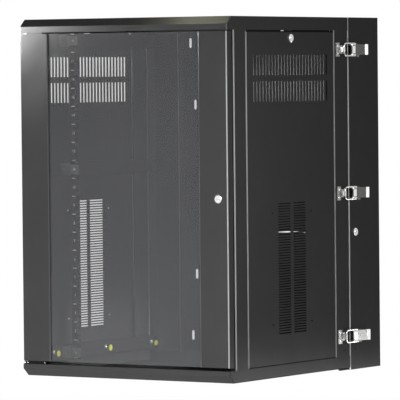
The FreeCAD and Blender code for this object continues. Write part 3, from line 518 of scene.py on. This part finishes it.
for side, outward in (("left", -1), ("right", 1)):
    panel_low, panel_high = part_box("side_panel_" + side)
    lock_low, lock_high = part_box("panel_lock_%s_barrel" % side)
    front_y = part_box("front_post_" + side)[1][1] + post_clear
    rear_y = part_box("rear_post_" + side)[0][1] - post_clear
    strip_x = outward * (right_face_x - sheet - strip_thickness / 2 - glue_gap)
    strip_z = panel_high[2] + strip_lift + strip_height / 2
    # The black strips and trims are painted shade for the gaps.
    gap_shade_strip("panel_gap_front_shade_strip_" + side, strip_x, front_y, lock_low[1] - cam_clear, strip_z)
    gap_shade_strip("panel_gap_rear_shade_strip_" + side, strip_x, lock_high[1] + cam_clear, rear_y, strip_z)

    strike_x = outward * (right_face_x - strike_depth)
    strike_place = (strike_x, lock_low[1] - strike_from_lock, (panel_high[2] + roof_edge_z) / 2)
    trim_bar("panel_strike_" + side, strike_size, strike_place, zinc, "cabinet")

    panel = "side_panel_" + side
    trim_x = outward * (right_face_x - trim_sunk)
    trim_y = (panel_low[1] + panel_high[1]) / 2
    trim_size = (trim_thickness, panel_high[1] - panel_low[1] - 2 * trim_end_gap, trim_height)
    top_place = (trim_x, trim_y, panel_high[2] - top_trim_drop)
    bottom_place = (trim_x, trim_y, tray_edge_z + bottom_trim_rise)
    trim_bar("panel_top_shade_trim_" + side, trim_size, top_place, rubber, panel)
    trim_bar("panel_bottom_shade_trim_" + side, trim_size, bottom_place, rubber, panel)

# Each earth stud on the left channel's web is a tinned brass bolt under a hexagon nut with a domed end.
# A third one, with a sticker of its own, stands in for the wall section's, which the rear post hides. It
# is level with the channel's lips and touches nothing.
nut_radius = 0.005
nut_height = 0.0034
nut_round = 0.0003
dome_size = (0.0041, 0.0026)
rear_stud_inset = 0.0309
disc_draft = 0.0001
stud_low, stud_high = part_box("earth_studs_cabinet")
disc_low, disc_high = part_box("earth_discs_cabinet")
channel_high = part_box("side_channel_left_bottom")[1]
stud_z = (stud_low[2] + stud_high[2]) / 2
disc_z = (disc_low[2] + disc_high[2]) / 2
disc_radius = (disc_high[2] - disc_low[2]) / 2
disc_thickness = disc_high[0] - disc_low[0]
front_stud_y = stud_low[1] + nut_radius
middle_stud_y = stud_high[1] - nut_radius
lip_x = channel_high[0]
rear_stud_y = channel_high[1] - rear_stud_inset
rear_disc_y = rear_stud_y + disc_low[1] + disc_radius - front_stud_y
sideways = Matrix.Rotation(math.radians(90), 4, "Y")
mesh = bmesh.new()
places = []
for x, y in ((stud_low[0], front_stud_y), (stud_low[0], middle_stud_y), (lip_x, rear_stud_y)):
    nut = bmesh.ops.create_cone(
        mesh, cap_ends=True, segments=6, radius1=nut_radius, radius2=nut_radius, depth=nut_height
    )
    place = Matrix.Translation((x + nut_height / 2, y, stud_z))
    bmesh.ops.transform(mesh, matrix=place @ sideways, verts=nut["verts"])
    places.append((x + nut_height, y, stud_z))
edges = mesh.edges[:]
bmesh.ops.bevel(mesh, geom=edges, offset=nut_round, segments=2, profile=0.5, affect="EDGES", material=-1)
stud_nuts = keep_piece("earth_stud_nuts", mesh, tin, "cabinet")
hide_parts("earth_studs_cabinet")
domed_heads("earth_stud_domes", places, (1, 0, 0), dome_size, chrome)
mesh = bmesh.new()
disc = bmesh.ops.create_cone(
    mesh,
    cap_ends=True,
    segments=40,
    radius1=disc_radius,
    radius2=disc_radius - disc_draft,
    depth=disc_thickness,
)
place = Matrix.Translation((lip_x + disc_thickness / 2, rear_disc_y, disc_z))
bmesh.ops.transform(mesh, matrix=place @ sideways, verts=disc["verts"])
keep_piece("earth_disc_rear", mesh, sticker, "cabinet")

# A thin steel clamp plate with one tinned screw ties each rack rail to each of its three arms. It has
# the arms' grey coat.
plate_size = (0.0265, 0.001, 0.0245)
plate_round = 0.0003
screw_size = (0.003, 0.0014)
screws = []
for side in sides:
    rail_low, rail_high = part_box("rail_" + side)
    rail_x = (rail_low[0] + rail_high[0]) / 2
    mesh = bmesh.new()
    for level in levels:
        arm_low, arm_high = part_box("side_channel_%s_%s" % (side, level))
        arm_z = (arm_low[2] + arm_high[2]) / 2
        add_bar(mesh, plate_size, (rail_x, rail_low[1] - plate_size[1] / 2, arm_z), plate_round)
        screws.append((rail_x, rail_low[1] - plate_size[1], arm_z))
    keep_piece("rail_clamps_" + side, mesh, arm_coat, "cabinet")
domed_heads("clamp_screws", screws, (0, -1, 0), screw_size, tin)

# The stage: a wide pale floor far below, because the cabinet hangs on a wall, in a white room. The room
# gives little light, but it is plain white to the camera, in a reflection and through glass, and the
# floor turns the same white with distance.
floor_drop = 1.1
floor_reach = 40.0
floor_fade = (1.0, 6.0)
room_level = 0.05


def seen_white(tree):
    """1 for rays that see the background straight, in a reflection or through glass."""
    path = tree.nodes.new("ShaderNodeLightPath")
    total = path.outputs["Is Camera Ray"]
    for kind in ("Is Glossy Ray", "Is Transmission Ray"):
        either = tree.nodes.new("ShaderNodeMath")
        either.operation = "MAXIMUM"
        tree.links.new(total, either.inputs[0])
        tree.links.new(path.outputs[kind], either.inputs[1])
        total = either.outputs["Value"]
    return total


floor_paint, tree, shader = new_finish("pale_floor")
shader.inputs["Base Color"].default_value = grey(0.72)
shader.inputs["Roughness"].default_value = 0.9
shader.inputs["Specular IOR Level"].default_value = 0.1
place = tree.nodes.new("ShaderNodeTexCoord")
distance = tree.nodes.new("ShaderNodeVectorMath")
distance.operation = "LENGTH"
tree.links.new(place.outputs["Object"], distance.inputs[0])
share = tree.nodes.new("ShaderNodeMath")
share.operation = "MULTIPLY"
tree.links.new(seen_white(tree), share.inputs[0])
tree.links.new(link_range(tree, distance.outputs["Value"], 0, 1, *floor_fade), share.inputs[1])
glow = tree.nodes.new("ShaderNodeEmission")
glow.inputs["Color"].default_value = grey(1)
blend = tree.nodes.new("ShaderNodeMixShader")
tree.links.new(share.outputs["Value"], blend.inputs["Fac"])
tree.links.new(shader.outputs["BSDF"], blend.inputs[1])
tree.links.new(glow.outputs["Emission"], blend.inputs[2])
tree.links.new(blend.outputs["Shader"], tree.nodes["Material Output"].inputs["Surface"])
mesh = bmesh.new()
bmesh.ops.create_grid(mesh, x_segments=1, y_segments=1, size=floor_reach)
bmesh.ops.translate(mesh, verts=mesh.verts, vec=(0, 0, cad_box[0][2] - floor_drop))
room_floor = keep_mesh("room_floor", mesh, floor_paint)

world = bpy.data.worlds.new("white_room")
bpy.context.scene.world = world
world.use_nodes = True
tree = world.node_tree
sky = tree.nodes["Background"]
sky.inputs["Color"].default_value = grey(1)
tree.links.new(link_range(tree, seen_white(tree), room_level, 1, 0, 1), sky.inputs["Strength"])


# The lamps: a wide soft box low in front, weaker ones above, left and behind, two small ones at the right
# side, and two inside, one for the top of the back plate and one for the earth studs. The others only
# give gloss: two strips by the top left corner, one over the roof and two for the folds.
def soft_box(name, place, target, width, height, power, gloss_only=False, tint=(1, 1, 1), spread=180):
    lamp = bpy.data.lights.new(name, "AREA")
    lamp.shape = "RECTANGLE"
    lamp.size = width
    lamp.size_y = height
    lamp.energy = power
    lamp.color = tint
    lamp.spread = math.radians(spread)
    holder = bpy.data.objects.new(name, lamp)
    holder.location = place
    holder.rotation_euler = (Vector(target) - Vector(place)).to_track_quat("-Z", "Y").to_euler()
    holder.visible_camera = False
    holder.visible_diffuse = not gloss_only
    bpy.context.scene.collection.objects.link(holder)


warm = (1, 0.98, 0.72)
soft_box("key_light", (-0.1, -2.6, -0.95), (0, -0.6, -0.15), 1.4, 0.8, 50)
soft_box("top_light", (0.4, 0.2, 3.2), (0, -0.3, 0), 2.0, 1.4, 16)
soft_box("side_light", (1.0, -1.0, 0.1), (0.3, -0.65, 0), 0.2, 0.6, 3.0)
soft_box("floor_light", (0.9, -0.2, -0.8), (0.3, -0.4, -0.4), 0.6, 0.3, 0.6)
soft_box("left_light", (-2.9, -0.1, 0.6), (0, -0.3, 0), 1.6, 1.6, 30)
soft_box("rear_light", (-1.2, 2.7, 0.6), (0, 0, 0), 1.6, 1.6, 30)
soft_box("vent_glow", (0.05, -0.17, 0.18), (0.05, 0, 0.32), 0.34, 0.08, 1.0, spread=80)
soft_box("stud_glow", (0.08, -0.42, -0.3), (-0.28, -0.37, -0.388), 0.5, 0.05, 0.36, spread=60)
soft_box("lip_strip", (-0.72, -1.22, 0.465), (-0.3, -0.71, 0.435), 0.3, 0.04, 24, gloss_only=True)
soft_box("corner_strip", (-0.88, -1.22, 0.43), (-0.45, -0.71, 0.41), 0.2, 0.06, 190, gloss_only=True)
soft_box("fold_panel", (1.4, -2.1, 1.05), (0.3, -0.6, 0.35), 1.2, 0.6, 110, gloss_only=True)
soft_box("low_strip", (0.95, 0.5, -0.62), (0.3, -0.45, -0.45), 1.4, 0.2, 10, gloss_only=True)
soft_box("roof_strip", (-0.41, -0.64, 1.43), (0.23, -0.7, 0.425), 0.16, 0.12, 5, gloss_only=True, tint=warm)

# The camera stands almost ten metres off with a long lens, a little over a third of a right angle round
# to the right, and looks slightly down.
heading = math.radians(32.78)
dip = math.radians(1.897)
roll = math.radians(-0.558)
lens_mm = 345.7
sensor_mm = 36
sight_limit = 200
stand = Vector((5.1574, -8.3756, 0.302))
ahead = Vector((-math.sin(heading) * math.cos(dip), math.cos(heading) * math.cos(dip), -math.sin(dip)))
level_right = Vector((math.cos(heading), math.sin(heading), 0))
level_up = level_right.cross(ahead)
camera_right = level_right * math.cos(roll) + level_up * math.sin(roll)
camera_up = level_up * math.cos(roll) - level_right * math.sin(roll)
camera_data = bpy.data.cameras.new("camera")
camera_data.lens = lens_mm
camera_data.sensor_width = sensor_mm
camera_data.clip_end = sight_limit
camera = bpy.data.objects.new("camera", camera_data)
turned = Matrix((camera_right, camera_up, -ahead)).transposed().to_4x4()
camera.matrix_world = Matrix.Translation(stand) @ turned
bpy.context.scene.collection.objects.link(camera)
bpy.context.scene.camera = camera
bpy.context.scene.view_settings.view_transform = "Standard"
